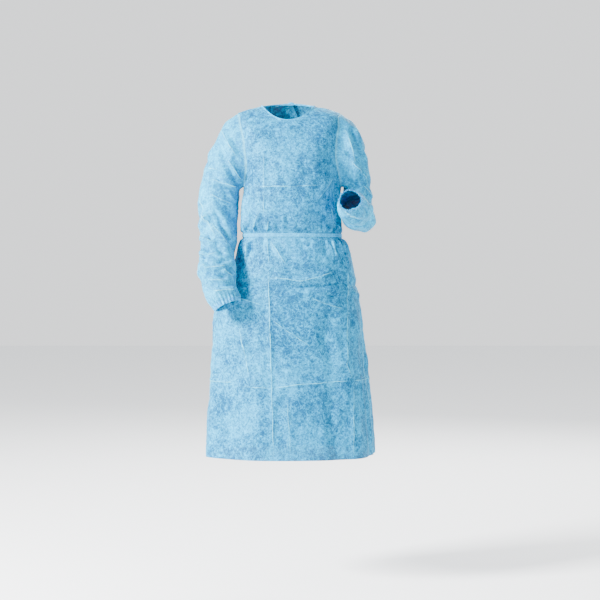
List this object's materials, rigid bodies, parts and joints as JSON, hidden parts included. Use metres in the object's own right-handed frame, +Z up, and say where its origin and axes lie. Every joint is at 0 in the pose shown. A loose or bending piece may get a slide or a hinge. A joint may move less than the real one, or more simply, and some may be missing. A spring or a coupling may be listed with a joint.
{
  "type": "disposable visitor gown",
  "caption": "Thin disposable visitor gown in its worn, hollow form: back opening, long sleeves with elastic cuffs, bound round neck and a flat waist tie.",
  "frame": {"origin": "middle of the neck opening at shoulder height, where the wearer's shoulders hold the gown", "axes": "+Z up, the gown's front faces -Y, the wearer's left sleeve is on +X"},
  "size_m": [0.5299, 0.4044, 1.0634],
  "materials": {
    "nonwoven_cloth": "matt sky-blue spunbond nonwoven, slightly see-through",
    "elastic_cuff": "pale blue gathered elastic edge",
    "binding_and_ties": "pale blue folded nonwoven strip, matt"
  },
  "bodies": {
    "root": {"front_panel": "nonwoven_cloth", "back_panel_left": "nonwoven_cloth", "back_panel_right": "nonwoven_cloth", "sleeve_left": "nonwoven_cloth", "sleeve_right": "nonwoven_cloth", "cuff_left": "elastic_cuff", "cuff_right": "elastic_cuff", "neck_binding": "binding_and_ties", "neck_knot": "binding_and_ties", "neck_tail_left": "binding_and_ties", "neck_tail_right": "binding_and_ties", "waist_tie": "binding_and_ties", "waist_knot": "binding_and_ties", "waist_tail_left": "binding_and_ties", "waist_tail_right": "binding_and_ties"}
  },
  "joints": []
}
